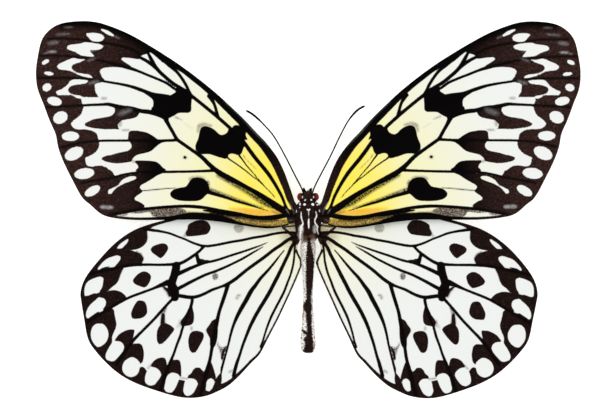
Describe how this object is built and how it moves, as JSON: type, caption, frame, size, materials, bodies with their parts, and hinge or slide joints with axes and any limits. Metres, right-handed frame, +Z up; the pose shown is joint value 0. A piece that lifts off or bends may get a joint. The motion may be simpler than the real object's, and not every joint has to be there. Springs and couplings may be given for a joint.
{
  "type": "paper kite butterfly",
  "caption": "Still, life-size paper kite butterfly standing on its feet with white, black-veined wings spread flat.",
  "frame": {"origin": "on the floor, at the middle of the part's length and width, which lies under the thorax", "axes": "+Z up, head towards -Y, the animal's left wings along +X"},
  "size_m": [0.12, 0.0831, 0.0157],
  "materials": {
    "head": "black hairy cuticle with white dots",
    "thorax": "black hairy cuticle with white lines",
    "abdomen": "grey-white scales with a black stripe along the back",
    "eye": "dark red compound eye",
    "antenna": "black ringed cuticle",
    "palp": "black bristly cuticle",
    "proboscis": "dark brown smooth cuticle",
    "forewing": "white scales with black veins and spots, yellow near the root",
    "hindwing": "white scales with black veins and spots",
    "leg": "black cuticle, whitish below"
  },
  "bodies": {
    "root": {"head": "head", "thorax": "thorax", "abdomen": "abdomen", "eye_left": "eye", "eye_right": "eye", "antenna_left": "antenna", "antenna_right": "antenna", "palp_left": "palp", "palp_right": "palp", "proboscis": "proboscis", "forewing_left": "forewing", "forewing_right": "forewing", "hindwing_left": "hindwing", "hindwing_right": "hindwing", "foreleg_left": "leg", "foreleg_right": "leg", "midleg_left": "leg", "midleg_right": "leg", "hindleg_left": "leg", "hindleg_right": "leg"}
  },
  "joints": []
}
